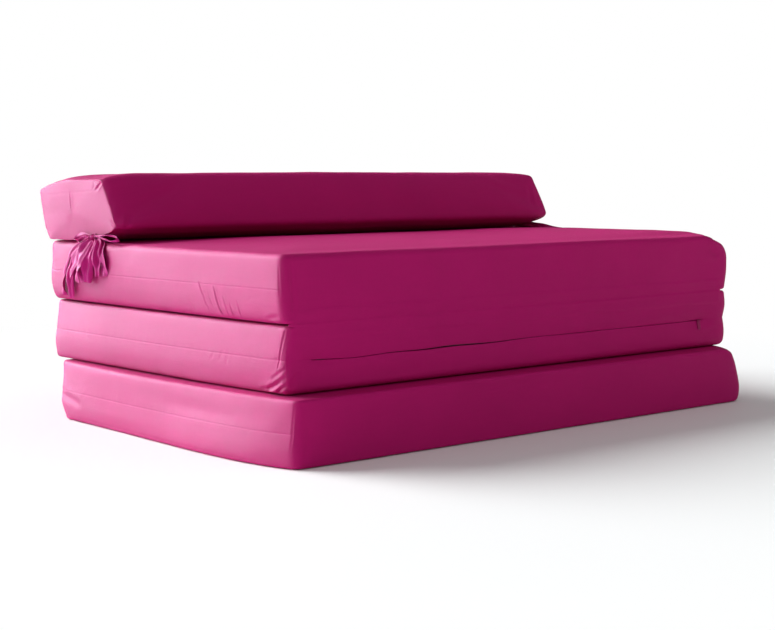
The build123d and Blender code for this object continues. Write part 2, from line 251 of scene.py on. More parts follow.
BOLSTER_CREASES = [
    ("left", (672, 374), (514, 384), 1.4, 0.3),
    ("left", (596, 384), (590, 346), 1.6, 0.6),
    ("left", (530, 400), (508, 394), 2.2, 1.3),
    ("left", (510, 396), (522, 384), 2.2, 1.3),
    ("left", (530, 398), (529, 384), 2, 0.9),
    ("left", (466, 322), (482, 336), 3, 1.0),
    ("front", (16, 322), (30, 345), 4, 2.0),
    ("front", (960, 340), (978, 388), 5, 1.6),
]

# What holds for a block that doesn't say otherwise
PLAIN_BLOCK = {
    "low_edge": EDGE,
    "front_low_edge": EDGE,
    "high_edge": EDGE,
    "right_droop": 0,
    "right_lift": 0,
    "crown": 0,
    "low_bow_peak_share": 0.45,
    "edge_wave": 1.6,
    "zip_pinch": 3.5,
    "zip_side": 1,
    "zip_drift": 0,
}

# Blocks: rounding of the front left, front right, rear left and rear right corners; how far the
# ends stand out at heights about the seam; the zip's place, its openings and its pulls
BLOCKS = {
    "bottom": PLAIN_BLOCK | {
        "name": "bottom_block_cushion",
        "centre": (500, 320, 49.6),
        "corners": [12, 24, 9, 30],
        "low_corner_more": 20,
        "left_out": [(-50, 2), (-30, 5), (0, 4), (30, 3), (50, 3)],
        "right_out": [(-50, 20), (-32, 31), (0, 24), (30, 13), (42, 6), (50, -3)],
        "low_edge": 3,
        "front_low_edge": 3,
        "right_droop": 5,
        "bow": 18,
        "low_bow": 24,
        "low_bow_peak_share": 0.27,
        "room": (0, 99.2),
        "seed": 11,
        "fine_span": (0, 0),
        "creases": BOTTOM_CREASES,
        "zip_start": 62,
        "openings": [(69, 9)],
        "pulls": [69],
    },
    "middle": PLAIN_BLOCK | {
        "name": "middle_block_cushion",
        "centre": (510, 353, 149.6),
        "corners": [12, 22, 9, 30],
        "low_corner_more": 6,
        "left_out": [(-50, 1), (-20, 5), (10, 4), (50, 0)],
        "right_out": [(-50, 9), (-22, 14), (0, 9), (22, 16), (50, 10)],
        "zip_pinch": 1.6,
        "front_low_edge": 11,
        "bow": 10,
        "low_bow": 10,
        "room": (100, 199.2),
        "seed": 21,
        "fine_span": (-325, -240),
        "creases": MIDDLE_CREASES,
        "zip_side": -1,
        "zip_start": 64,
        "zip_drift": -3,
        "openings": [(71, 7), (340, 100), (933, 9)],
        "pulls": [71, 933],
    },
    "top": PLAIN_BLOCK | {
        "name": "top_block_cushion",
        "centre": (504, 353, 249.6),
        "corners": [13, 26, 9, 30],
        "low_corner_more": 10,
        "left_out": [(-50, -2), (-35, 4), (0, 6), (50, 5)],
        "right_out": [(-50, 17), (-20, 25), (10, 27), (30, 22), (42, 13), (50, -9)],
        "high_edge": 10,
        "right_droop": 11,
        "right_lift": 3.8,
        "bow": 8,
        "low_bow": 8,
        "crown": CROWN,
        "room": (200, 320),
        "seed": 41,
        "fine_span": (-240, -90),
        "edge_wave": 2.2,
        "creases": TOP_CREASES,
        "zip_start": 66,
        "openings": [(73, 9)],
        "pulls": [73],
    },
}


def mirrored(profile):
    """A profile with its mirror image in the fold's line before it."""
    return [(-height, off) for height, off in profile[:0:-1]] + profile


# Front fold: distance up from the fold's line and out from the cover's face
FRONT_FOLD_LEVEL = 199.6
FRONT_FOLD_HALF = [(0, -0.6), (1.5, 0.3), (4, 0.5), (10, 0), (16, -0.4), (21, -0.1), (25, 0.8)]
FRONT_FOLD_PROFILE = mirrored(FRONT_FOLD_HALF)
FRONT_FOLD_START = 13
FRONT_FOLD_END = 1000
FRONT_FOLD_COUNT = 240
FRONT_FOLD_CLEAR = 14
FRONT_FOLD_TUCK = 4
FRONT_FOLD_FADE = 8
FRONT_FOLD_WAVE = 0.5
FRONT_FOLD_WAVE_SCALE = 60
FRONT_FOLD_WAVE_REACH = 10
FRONT_FOLD_SEED = 51
FRONT_FOLD_THICKNESS = 0.5
IN_FRONT = -100

# Rear fold: height over the fold's line and place along Y, from the line forwards
REAR_FOLD_LEVEL = 99.6
REAR_FOLD_HALF = [(0, 657.6), (0.15, 657), (0.2, 654), (0.24, 645), (0.28, 630), (0.3, 612)]
REAR_FOLD_PROFILE = [(y, REAR_FOLD_LEVEL + height) for height, y in mirrored(REAR_FOLD_HALF)]
REAR_FOLD_START = 42
REAR_FOLD_END = 970
REAR_FOLD_COUNT = 80
REAR_FOLD_THICKNESS = 0.2

# Ties: the knot's place and its bands (radii, width, tilt in degrees, seed), then the ribbons
BOLSTER_SIDES = {"left": 0, "right": 993}
TAIL_OUT_SHARES = {"left": 1, "right": 0.6}
BESIDE_REACH = 700
KNOT_OUT = 7
KNOT_Y = 528
KNOT_Z = 306
KNOT_BANDS = [((6.5, 5), 10, 8, 0.4), ((5.6, 6), 7, -22, 2.1), ((4.6, 4), 13, 4, 3.9)]
BAND_STEPS = 28
BAND_LINES = 5
BAND_LUMP = 0.12
BAND_LUMP_COUNT = 3
BAND_ROUNDING = 0.3
TIE_SEEDS = (1, 11, 21, 31)

# How a ribbon lies: its curl, crumple and folds, as shares of its width and in radians
RIBBON_THICKNESS = 0.45
RIBBON_STEPS = 30
RIBBON_LINES = 9
RIBBON_CURL = 0.14
RIBBON_CURL_WAVE = 7
RIBBON_CURL_SHIFT = 2.3
RIBBON_CRUMPLE = 0.07
RIBBON_CRUMPLE_WAVE = 17
RIBBON_CRUMPLE_SLANT = 3
RIBBON_GATHER = 0.35
RIBBON_FOLD_DEPTH = 0.15
RIBBON_FOLD_WAVE = 1.6 * math.pi
RIBBON_FOLD_SHIFT = 1.4
RIBBON_FOLD_TWIST = 2

# Each ribbon: places (distance out, Y, Z), widths, width directions and how folded it is
FLAT = (0.1, 1, 0)
TO_FRONT = (-0.45, 0.9, 0)
TO_REAR = (0.5, 0.87, 0)
UP = (0, 0, 1)
TAILS = [
    ([(4, 532, 304), (7, 556, 299), (9, 578, 284), (9, 590, 264), (8, 602, 244),
      (6, 610, 224), (5, 616, 210)],
     [10, 22, 30, 24], [FLAT, TO_FRONT, FLAT], [1, 0.8, 0.5, 0.35]),
    ([(4, 531, 304), (10, 552, 298), (12, 562, 280), (12, 572, 258), (11, 580, 236), (8, 590, 206)],
     [9, 18, 24, 12], [TO_FRONT, TO_REAR, FLAT], [1, 0.9, 0.8, 0.5]),
    ([(4, 530, 304), (13, 536, 300), (17, 546, 284), (18, 556, 264), (15, 570, 242)],
     [10, 22, 30, 26], [FLAT, TO_FRONT, TO_FRONT], [1, 0.7, 0.5, 0.4]),
    ([(5, 528, 305), (14, 522, 301), (20, 526, 283), (21, 536, 262), (17, 548, 238)],
     [10, 24, 34, 28], [FLAT, FLAT, TO_FRONT], [1, 0.6, 0.4, 0.3]),
    ([(4, 527, 305), (13, 511, 301), (16, 509, 282), (16, 514, 262), (12, 522, 236)],
     [9, 18, 26, 18], [TO_FRONT, TO_REAR, FLAT], [1, 0.8, 0.7, 0.6]),
    ([(3, 526, 305), (9, 504, 302), (10, 498, 284), (9, 496, 264), (7, 498, 246)],
     [9, 18, 24, 14], [FLAT, TO_REAR, TO_REAR], [1, 0.9, 0.8, 0.7]),
    ([(3, 523, 305), (6, 501, 299), (5, 491, 282), (3.5, 484, 264), (2.5, 480, 248)],
     [9, 18, 24, 12], [FLAT, FLAT, FLAT], [1, 0.5, 0.25, 0.15]),
    ([(3, 533, 304), (5, 548, 296), (4, 552, 274), (3, 556, 252), (2.5, 554, 234)],
     [9, 16, 22, 12], [FLAT, FLAT, FLAT], [1, 0.5, 0.25, 0.15]),
]
SMALL_LOOPS = [
    ([(5, 529, 307), (8, 545, 307), (9, 562, 303), (8, 574, 301), (6, 571, 307),
      (5, 552, 311), (5, 531, 309)],
     [8, 12, 13, 8], [(0.6, 0, 1), (0.8, 0, 0.6), (0.5, 0, 1)], [0.7, 0.4, 0.7]),
    ([(6, 529, 308), (10, 539, 303), (12, 551, 298), (11, 559, 301), (9, 552, 306),
      (7, 540, 309), (6, 530, 309)],
     [8, 11, 11, 8], [(0.3, 0, 1), (0.9, 0, 0.5), (0.4, 0, 1)], [0.8, 0.6, 0.8]),
]
LOOPS = {
    "left": SMALL_LOOPS + [
        ([(5, 527, 308), (8, 508, 309), (9, 487, 306), (8, 466, 303), (6, 452, 305),
          (5, 458, 310), (6, 478, 312),
          (6, 502, 311), (5, 525, 309)],
         [8, 11, 10, 11, 8], [(1, 0, 0.5), (0.7, 0, 0.7), (1, 0, -0.2)], [0.7, 0.35, 0.7]),
    ],
    "right": SMALL_LOOPS + [
        ([(5, 527, 308), (8, 510, 306), (10, 492, 304), (12, 474, 302.6), (13, 452, 302),
          (13, 432, 301.6)],
         [12, 16, 14, 10, 9], [UP, UP, (0.6, 0, 0.6), (1, 0, 0.25)], [0.6, 0.5, 0.4, 0.2]),
        ([(5, 527, 306), (7, 512, 304), (6, 496, 302.5), (4, 482, 301.8), (3, 470, 301.6)],
         [12, 12, 10, 8], [UP, (0.5, 0, 0.8), (1, 0, 0.3)], [0.6, 0.5, 0.3]),
    ],
}
SEAT_STRAP = [
    ([(1.2, 528, 266), (1.2, 528, 285), (1.4, 528, 298), (5, 528, 301.5), (7, 528, 304)],
     [10, 10, 8], [FLAT, FLAT], [0, 0.2, 0.8]),
]
BOLSTER_STRAP = [
    ([(2, 528, 315), (4, 528, 312), (6, 528, 309), (7, 528, 307)],
     [9, 8, 7], [FLAT, FLAT], [0.4, 0.6, 0.8]),
]

# Cottons: name, colour, thread pitch in metres, roughness and gloss
COTTONS = {
    "cover": ("cover_cotton", (0.465, 0.006, 0.139), 0.00045, 0.6, 0.08),
    # The ribbon's colour is partly its own and partly painted light: lighter than the cover's, standing in
    # for light that passes through the thin ribbon
    "ribbon": ("ribbon_cotton", (0.56, 0.018, 0.22), 0.0004, 0.6, 0.08),
    "tape": ("zip_tape", (0.2, 0.006, 0.07), 0.0006, 0.7, 0.12),
}

# Noise in the cottons: features in a metre, detail and stretch, and the span of its values
CLOUDS = (9, 3)
SLUBS = (120, 2, (0.35, 0.35, 2.2))
WARP = (160, 2, (2.0, 2.0, 0.3))
RUMPLE = (55, 4)
NOISE_SPAN = (0.3, 0.7)

# How dark and how light each makes the colour, and the strength and metres of each bump
CLOUD_TINT = (0.97, 1.03)
THREAD_TINT = (0.985, 1.015)
# Painted shade in the weave: darker in the hollows between threads, lighter on the raised threads
WEAVE_SHADE_TINT = (0.93, 1.05)
RUMPLE_BUMP = (0.2, 0.0006)
SLUB_BUMP = (0.1, 0.0001)
WEAVE_BUMP = (0.5, 0.00012)

# Nylon coil, with the pitch of its teeth in metres, and lacquered metal of the zips
COIL_COLOUR = (0.15, 0.006, 0.05)
COIL_PITCH = 0.0013
# Painted shade on the coil: darker in the gaps between the teeth, lighter on their tops
COIL_SHADE_TINT = (0.45, 1.1)
COIL_ROUGHNESS = 0.38
COIL_BUMP = (1, 0.0004)
METAL_COLOUR = (0.3, 0.006, 0.09)
METAL_FINISH = {"Roughness": 0.42, "Specular IOR Level": 0.2, "Coat Weight": 0.05}
METAL_WEAR = (900, 3)
METAL_TINT = (0.85, 1.15)
METAL_BUMP = (0.2, 0.0001)

# Floor, which fades to white between two distances in metres from the object's middle
FLOOR_COLOUR = (0.95, 0.972, 0.967)
FLOOR_FINISH = {"Roughness": 0.6, "Specular IOR Level": 0.2}
FLOOR_FADE_START = 0.8
FLOOR_FADE_END = 1.7
FLOOR_CORNERS = [(-20000, -20000, 0), (21000, -20000, 0), (21000, 20000, 0), (-20000, 20000, 0)]

# Lamps: name, bearing from the rear, height, strength, spread, colour, and whether each reaches
# diffuse and glossy surfaces; angles are in degrees
AMBIENT = 0.25
LIGHTS = [
    ("back", -26, 34, 3.95, 44, (1, 1, 1), True, True),
    ("fill", 165, 35, 0.48, 120, (1, 1, 1), True, False),
    ("gloss", -41, 8, 46, 70, (1, 1, 1.2), False, True),
]

# Camera: sensor and lens in millimetres, place in metres and angles in degrees
CAMERA_SENSOR = 36
CAMERA_LENS = 73.94
CAMERA_PLACE = (-1.85, -2.07045, 0.4178)
CAMERA_ANGLES = (84.765, 0, -41.359)


def smooth(value):
    """Eased step from 0 to 1."""
    clipped = np.clip(value, 0, 1)
    return clipped * clipped * (3 - 2 * clipped)


def eased(value, start, reach):
    """Eased step from 0 at a start to 1 after a reach."""
    return smooth((value - start) / reach)


def bell(value):
    """Rounded peak of 1 at 0."""
    return np.exp(-np.square(value))


def to_frame(points):
    """Millimetres from the block's corner to metres in the object's frame."""
    return (np.asarray(points, float) - ORIGIN) * MM


def new_object(name, points, faces, smooth_shading=True):
    """Mesh object from points in millimetres."""
    mesh = bpy.data.meshes.new(name)
    mesh.from_pydata([tuple(p) for p in to_frame(points)], [], faces)
    mesh.validate()
    mesh.polygons.foreach_set("use_smooth", [smooth_shading] * len(mesh.polygons))
    mesh.update()
    piece = bpy.data.objects.new(name, mesh)
    bpy.context.scene.collection.objects.link(piece)
    return piece


def vertex_vectors(mesh, name):
    """One vector for each vertex of a mesh: its place or its normal."""
    flat = np.zeros(len(mesh.vertices) * 3)
    mesh.vertices.foreach_get(name, flat)
    return flat.reshape(-1, 3)


def points_of(mesh):
    """Vertices of a mesh in millimetres."""
    return vertex_vectors(mesh, "co") / MM + ORIGIN


def set_points(mesh, points):
    """Puts a mesh's vertices at places in millimetres."""
    mesh.vertices.foreach_set("co", to_frame(points).ravel())
    mesh.update()


def apply_modifiers(piece):
    """Turns a piece's modifiers into its mesh."""
    graph = bpy.context.evaluated_depsgraph_get()
    mesh = bpy.data.meshes.new_from_object(piece.evaluated_get(graph))
    old = piece.data
    piece.modifiers.clear()
    piece.data = mesh
    bpy.data.meshes.remove(old)


def subdivide(piece, levels):
    """Rounds and refines a mesh."""
    modifier = piece.modifiers.new("Smooth", "SUBSURF")
    modifier.levels = levels
    modifier.render_levels = levels
    apply_modifiers(piece)


def swell(piece, held, cap):
    """Lets the cover swell over its foam by cloth simulation, except at the held points."""
    start = points_of(piece.data)
    group = piece.vertex_groups.new(name="held")
    group.add([int(i) for i in np.flatnonzero(held)], 1, "REPLACE")
    modifier = piece.modifiers.new("Cloth", "CLOTH")
    settings = modifier.settings
    settings.quality = 5
    settings.mass = 0.3
    settings.tension_stiffness = 12
    settings.compression_stiffness = 12
    settings.shear_stiffness = 4
    settings.bending_stiffness = 0.3
    settings.use_pressure = True
    settings.uniform_pressure_force = SWELL_PRESSURE
    settings.vertex_group_mass = "held"
    settings.effector_weights.gravity = 0
    modifier.point_cache.frame_start = 1
    modifier.point_cache.frame_end = SWELL_FRAMES
    for number in range(1, SWELL_FRAMES + 1):
        bpy.context.scene.frame_set(number)
    apply_modifiers(piece)
    bpy.context.scene.frame_set(1)
    moved = points_of(piece.data) - start
    far = np.linalg.norm(moved, axis=1)[:, None]
    set_points(piece.data, start + moved * cap / (cap + far))


def cloud(points, scale, seed):
    """Smooth unevenness from -1 to 1 at each point, with features of the given size."""
    shift = Vector([seed * step for step in SEED_SHIFT])
    return np.array([noise.noise(Vector(p) / scale + shift) for p in points])


def sampled_cloud(points, scale, seed):
    """The same, worked out on a coarse grid and blended, for large meshes."""
    step = scale / 4
    low = points.min(axis=0) - step
    counts = np.ceil((points.max(axis=0) - low) / step).astype(int) + 2
    axes = [low[a] + step * np.arange(counts[a]) for a in range(3)]
    grid = np.stack(np.meshgrid(*axes, indexing="ij"), axis=-1).reshape(-1, 3)
    values = cloud(grid, scale, seed).reshape(counts)
    place = (points - low) / step
    base = np.floor(place).astype(int)
    part = smooth(place - base)
    total = np.zeros(len(points))
    for corner in np.ndindex(2, 2, 2):
        weight = np.prod(np.where(corner, part, 1 - part), axis=1)
        total += weight * values[tuple((base + corner).T)]
    return total


def crease(flat_points, start, end, width, depth):
    """Push of a fold line between two places on a face, with a raised lip on each side."""
    start = np.array(start, float)
    along = np.array(end, float) - start
    share = np.clip((flat_points - start) @ along / (along @ along), 0, 1)
    nearest = start + share[:, None] * along
    off = np.linalg.norm(flat_points - nearest, axis=1) / width
    taper = np.sqrt(np.clip(1 - np.square(2 * share - 1), 0, 1))
    return depth * taper * (CREASE_LIP * bell(off - CREASE_LIP_PLACE) - bell(off))


# Foam blocks
def refined(lines, span, parts):
    """Grid places with each step inside a span cut into parts."""
    result = [lines[0]]
    for before, after in zip(lines, lines[1:]):
        count = parts if span[0] < before and after < span[1] else 1
        result += [before + (after - before) * (k + 1) / count for k in range(count)]
    return result


def lines_across(half, near_edge, spacing):
    """Grid places across a face from edge to edge, closer together near the edges."""
    inner = half - near_edge[-1]
    count = round(2 * inner / spacing)
    middle = list(np.linspace(-inner, inner, count + 1))
    return [-half + step for step in near_edge[:-1]] + middle + [half - step for step in near_edge[-2::-1]]


def lines_up(half):
    """Grid heights over a block's side, closer together at the seam and at both edges."""
    from_seam = SEAM_LINES + [half - step for step in EDGE_LINES[3::-1]]
    return [-height for height in from_seam[:0:-1]] + from_seam


def box_shell(counts):
    """Whole-number places and faces of a grid on the surface of a box."""
    index = {}
    faces = []
    for fixed in range(3):
        first, second = (fixed + 1) % 3, (fixed + 2) % 3
        spans = ((0, counts[fixed]), range(counts[first]), range(counts[second]))
        for side, u, v in itertools.product(*spans):
            ring = []
            for du, dv in ((0, 0), (1, 0), (1, 1), (0, 1)):
                place = {fixed: side, first: u + du, second: v + dv}
                key = (place[0], place[1], place[2])
                ring.append(index.setdefault(key, len(index)))
            faces.append(ring if side else ring[::-1])
    return np.array(list(index)), faces


def turned_edge(block, y, z, depth):
    """Height and inset on a block's cover, from the depth inwards and the height on a plain box."""
    below = HALF_HEIGHT - abs(z)
    on_side = depth < MM
    to_front = smooth((-y - HALF_WIDTH + FRONT_EDGE_REACH) / FRONT_EDGE_REACH)
    low_edge = block["low_edge"] + (block["front_low_edge"] - block["low_edge"]) * to_front
    edge = np.where(z > 0, block["high_edge"], low_edge)
    up_side = np.clip(1 - below / edge, 0, 1)
    turn = np.where(on_side, 0.5 * up_side, 0.5 + 0.5 * np.clip(depth / edge, 0, 1))
    angle = turn * math.pi / 2
    inset = np.where(turn < 1, edge * (1 - np.cos(angle)), depth)
    height = np.where(on_side & (below >= edge), abs(z), HALF_HEIGHT - edge + edge * np.sin(angle))
    return height, inset


def seam_pinch(block, x, y, height):
    """How far a block's seam is drawn in at each place on its sides."""
    near_pull = sum(bell((x + block["centre"][0] - pull) / PULL_DENT_REACH) for pull in block["pulls"])
    zip_depth = block["zip_pinch"] + (PULL_DENT - block["zip_pinch"]) * near_pull
    depth = np.where(y * block["zip_side"] > HALF_WIDTH - MM, zip_depth, SEAM_PINCH)
    return depth * bell(height / PINCH_REACH)


def rounded_plan(block, x, y, z, inset):
    """Places along and across a block with its upright corners rounded."""
    radius = np.array(block["corners"])[(x > 0).astype(int) + 2 * (y > 0).astype(int)]
    lowness = smooth((-z - HALF_HEIGHT + LOW_CORNER_HEIGHT) / LOW_CORNER_HEIGHT)
    radius = radius + lowness * block["low_corner_more"] * ((x < 0) & (y > 0))
    over_x = np.maximum(abs(x) - (HALF_LENGTH - radius), 0)
    over_y = np.maximum(abs(y) - (HALF_WIDTH - radius), 0)
    most = np.maximum(np.maximum(over_x, over_y), MM)
    swing = math.pi / 4 * np.minimum(over_x, over_y) / most
    swing = np.where(over_y > over_x, math.pi / 2 - swing, swing)
    reach = radius - inset
    plan_x = np.where(over_x > 0, HALF_LENGTH - radius + reach * np.cos(swing), abs(x))
    plan_y = np.where(over_y > 0, HALF_WIDTH - radius + reach * np.sin(swing), abs(y))
    return np.sign(x) * plan_x, np.sign(y) * plan_y


def end_bulge(block, x, plan_y, z):
    """How far a block's ends swell outwards at each place."""
    share = np.clip(plan_y / BLOCK_WIDTH + 0.5, 0, 1)
    even = block["bow"] * (1 - np.square(2 * share - 1))
    from_peak = share / block["low_bow_peak_share"]
    low_left = block["low_bow"] * from_peak * np.exp(1 - from_peak)
    left = even + smooth(0.5 - z / BLOCK_HEIGHT) * (low_left - even)
    left_out, right_out = [np.interp(z, *zip(*block[key])) for key in ("left_out", "right_out")]
    return np.where(x < 0, left + left_out, even + right_out)


def behind_front(y):
    """Eased step from the front fold's strip to the seat behind it."""
    return eased(y, SETBACK + FOLD_STRIP_WIDTH, FOLD_STRIP_REACH)


def top_rise(block, x, y, plan_x, plan_y, z, depth):
    """How far a block's top rises over its plain height, with a lower corner at the front right."""
    crown = block["crown"] * (1 - np.square(1 - np.clip((depth - CROWN_START) / CROWN_REACH, 0, 1)))
    to_right = eased(x, *RIGHT_LIFT_SPAN)
    lift = block["right_lift"] * to_right * behind_front(y + block["centre"][1])
    to_corner = np.hypot(HALF_LENGTH - plan_x, HALF_WIDTH + plan_y)
    droop = block["right_droop"] * smooth(1 - to_corner / DROOP_REACH) * smooth(z / HALF_HEIGHT)
    return crown + lift - droop


def inwards(places):
    """Depth of places on a plain box inwards from its nearest side."""
    return np.minimum(HALF_LENGTH - abs(places[:, 0]), HALF_WIDTH - abs(places[:, 1]))


def block_points(block, places):
    """Places on a block's cover from places on a plain box about its middle."""
    x, y, z = places.T
    depth = inwards(places)
    height, inset = turned_edge(block, y, z, depth)
    inset = inset + np.where(depth < MM, seam_pinch(block, x, y, height), 0)
    plan_x, plan_y = rounded_plan(block, x, y, z, inset)
    plan_x = plan_x + end_bulge(block, x, plan_y, z) * plan_x / HALF_LENGTH
    rise = top_rise(block, x, y, plan_x, plan_y, z, depth)
    lift = np.sign(z) * height + np.where(z > 0, rise, 0)
    return np.stack([plan_x, plan_y, lift], axis=1) + np.array(block["centre"])


def make_block_shell(block):
    """A block's cover as a coarse closed mesh, with the grid's own places."""
    lines = [
        lines_across(HALF_LENGTH, EDGE_LINES, GRID_SPACING),
        refined(lines_across(HALF_WIDTH, EDGE_LINES, GRID_SPACING), block["fine_span"], FINE_PARTS),
        lines_up(HALF_HEIGHT),
    ]
    keys, faces = box_shell([len(line) - 1 for line in lines])
    places = np.stack([np.array(lines[axis])[keys[:, axis]] for axis in range(3)], axis=1)
    return new_object(block["name"], block_points(block, places), faces), places


def slit_half_width(x, openings):
    """Half width of a zip's slit at a place: nearly closed, wider at each opening."""
    wide = max(bell((x - middle) / reach) for middle, reach in openings)
    return SLIT_HALF + (SLIT_OPEN_HALF - SLIT_HALF) * wide


def open_slit(piece, on_line, ends, across, inward, openings, drift):
    """Opens a zip's slit along a line of the grid and turns its lips inwards."""
    start, end = ends
    across = np.array(across, float)
    work = bmesh.new()
    work.from_mesh(piece.data)
    work.verts.ensure_lookup_table()
    x = points_of(piece.data)[:, 0]
    level = np.median([np.array(work.verts[i].co) @ across for i in np.flatnonzero(on_line)])
    slit = np.flatnonzero(on_line & (x > start) & (x < end))
    gone = {face for i in slit for face in work.verts[i].link_faces}
    bmesh.ops.delete(work, geom=list(gone), context="FACES")
    rim = [edge for edge in work.edges if edge.is_boundary]
    for vertex in {vertex for edge in rim for vertex in edge.verts}:
        place = vertex.co.x / MM + ORIGIN[0]
        off = np.array(vertex.co) @ across - level
        if abs(off) > SEAM_LINES[1] / 2 * MM:
            left = (end - place) / (end - start)
            wander = noise.noise(Vector((place / SLIT_WANDER_SCALE, level, 0)))
            middle = SLIT_WANDER * math.sqrt(max(left, 0)) * wander + drift * left
            lip = math.copysign(slit_half_width(place, openings), off) + middle
            vertex.co += Vector(across * (lip * MM - off))
    made = bmesh.ops.extrude_edge_only(work, edges=rim)["geom"]
    for vertex in [item for item in made if isinstance(item, bmesh.types.BMVert)]:
        vertex.co += Vector(inward) * ZIP_LIP * MM
    bmesh.ops.recalc_face_normals(work, faces=work.faces)
    work.to_mesh(piece.data)
    work.free()
    piece.data.update()


def crease_push(points, normals, creases):
    """Depth at each point of all the creases of a piece, each a little crooked."""
    crooked = [sampled_cloud(points, CREASE_WANDER_SCALE, seed) for seed in CREASE_SEEDS]
    crooked = CREASE_WANDER * np.stack(crooked, axis=1)
    views = {}
    for side, facing, along in (("left", 0, 1), ("front", 1, 0)):
        mask = smooth((-normals[:, facing] - SIDE_TURN) * SIDE_SHARPNESS)
        views[side] = (mask, points[:, (along, 2)] + crooked)
    push = np.zeros(len(points))
    for side, start, end, width, depth in creases:
        mask, flat_points = views[side]
        push += mask * crease(flat_points, start, end, width, depth)
    return push


def seam_and_gathers(points, normals, height, zip_side):
    """Depth of the seam's line and of the small gathers beside it."""
    upright = 1 - np.square(normals[:, 2])
    seam = upright * bell(height / SEAM_REACH)
    on_zip = normals[:, 1] * zip_side > FACING
    depth = SEAM_DEPTH * np.where(~on_zip & (normals[:, 1] < -FACING), FRONT_SEAM_SHARE, 1)
    wander = 2 * sampled_cloud(points, GATHER_WANDER, GATHER_SEED)
    phase = (points[:, 0] + points[:, 1]) / GATHER_SIZE + wander
    gather = GATHER_DEPTH * upright * bell(height / GATHER_REACH) * np.sin(phase)
    return gather * (1 - seam) - depth * seam


def rest_and_limit(moved, points, seat):
    """Keeps the seat under the bolster and behind the front fold within its room."""
    under_bolster = eased(points[:, 1], *SEAT_REST_SPAN) * seat
    ceiling = SEAT_LEVEL + SEAT_REST_ROOM + (1 - under_bolster) * CROWN
    height = np.where(under_bolster > 0, np.minimum(moved[:, 2], ceiling), moved[:, 2])
    excess = np.maximum(height - SEAT_LEVEL - FOLD_REST_ROOM, 0)
    moved[:, 2] = height - excess * (1 - behind_front(points[:, 1]))


def dress_block(piece, block):
    """Works the seam, creases, puckers and unevenness into a block's fine mesh."""
    points = points_of(piece.data)
    normals = vertex_vectors(piece.data, "normal")
    _, centre_y, centre_z = block["centre"]
    seed = block["seed"]
    height = points[:, 2] - centre_z
    upright = 1 - np.square(normals[:, 2])
    seat = np.square(normals[:, 2]) * (height > 0)
    push = seam_and_gathers(points, normals, height, block["zip_side"])
    for size, scale, step in SIDE_UNEVENNESS:
        push += upright * size * sampled_cloud(points, scale, seed + step)
    push += crease_push(points, normals, block["creases"])
    moved = points + normals * push[:, None]
    edge_band = bell((abs(height) - HALF_HEIGHT + EDGE / 2) / EDGE) * upright
    moved[:, 2] += edge_band * block["edge_wave"] * sampled_cloud(points, EDGE_WAVE_SCALE, seed + 2)
    if block["crown"]:
        for size, scale, step in SEAT_UNEVENNESS:
            moved[:, 2] += seat * size * sampled_cloud(points, scale, seed + step)
    low, high = block["room"]
    moved[:, 2] = np.clip(moved[:, 2], low + CONTACT_MARGIN, high - CONTACT_MARGIN)
    front, rear = [centre_y + side * (HALF_WIDTH + FACE_ROOM) for side in (-1, 1)]
    moved[:, 1] = np.clip(moved[:, 1], front, rear)
    if block["crown"]:
        rest_and_limit(moved, points, seat)
    set_points(piece.data, moved)


def make_block(block, simulate):
    """One foam block in its cover: swollen, slit for its zip, refined and creased."""
    piece, places = make_block_shell(block)
    _, y, z = places.T
    depth = inwards(places)
    zip_side = block["zip_side"]
    line = (abs(z) < MM) & (depth < MM) & (y * zip_side > HALF_WIDTH - MM)
    resting = (abs(z) > HALF_HEIGHT - MM) & (depth > EDGE_LINES[-1] - 1)
    if block["crown"]:
        resting &= (z < 0) | (y > SEAT_HELD_START)
    if simulate:
        swell(piece, line | resting, BLOCK_SWELL)
    ends = (block["zip_start"], block["zip_start"] + ZIP_LENGTH)
    inward = (0, -zip_side, 0)
    open_slit(piece, line, ends, (0, 0, 1), inward, block["openings"], block["zip_drift"])
    subdivide(piece, REFINEMENT)
    dress_block(piece, block)
    return piece


# Bolster
def unit(vector):
    """A vector at length 1."""
    return vector / np.linalg.norm(vector)


def rounded_outline(corners, spacing, zip_segment):
    """Closed outline with rounded corners, and the number of its point at the zip."""
    places = [np.array(place, float) for place, radius in corners]
    arcs = []
    for i, place in enumerate(places):
        radius = corners[i][1]
        before = places[i - 1] - place
        after = places[(i + 1) % len(places)] - place
        angle = math.acos(np.clip(unit(before) @ unit(after), -1, 1))
        room = CORNER_SHARE * min(np.linalg.norm(before), np.linalg.norm(after))
        trim = min(radius / math.tan(angle / 2), room)
        arcs.append((place + unit(before) * trim, place, place + unit(after) * trim, angle))
    outline = []
    for i, (start, corner, end, angle) in enumerate(arcs):
        steps = max(2, round((math.pi - angle) / CORNER_STEP))
        for t in np.linspace(0, 1, steps + 1):
            outline.append((1 - t) ** 2 * start + 2 * t * (1 - t) * corner + t * t * end)
        run = arcs[(i + 1) % len(arcs)][0] - end
        length = np.linalg.norm(run)
        if i == zip_segment:
            offsets = [length / 2 + step for step in ZIP_SECTION_STEPS]
            zip_index = len(outline) + len(offsets) // 2
        else:
            pieces = max(1, round(length / spacing))
            offsets = [length * k / pieces for k in range(1, pieces)]
        outline += [end + run * offset / length for offset in offsets]
    return np.array(outline), zip_index


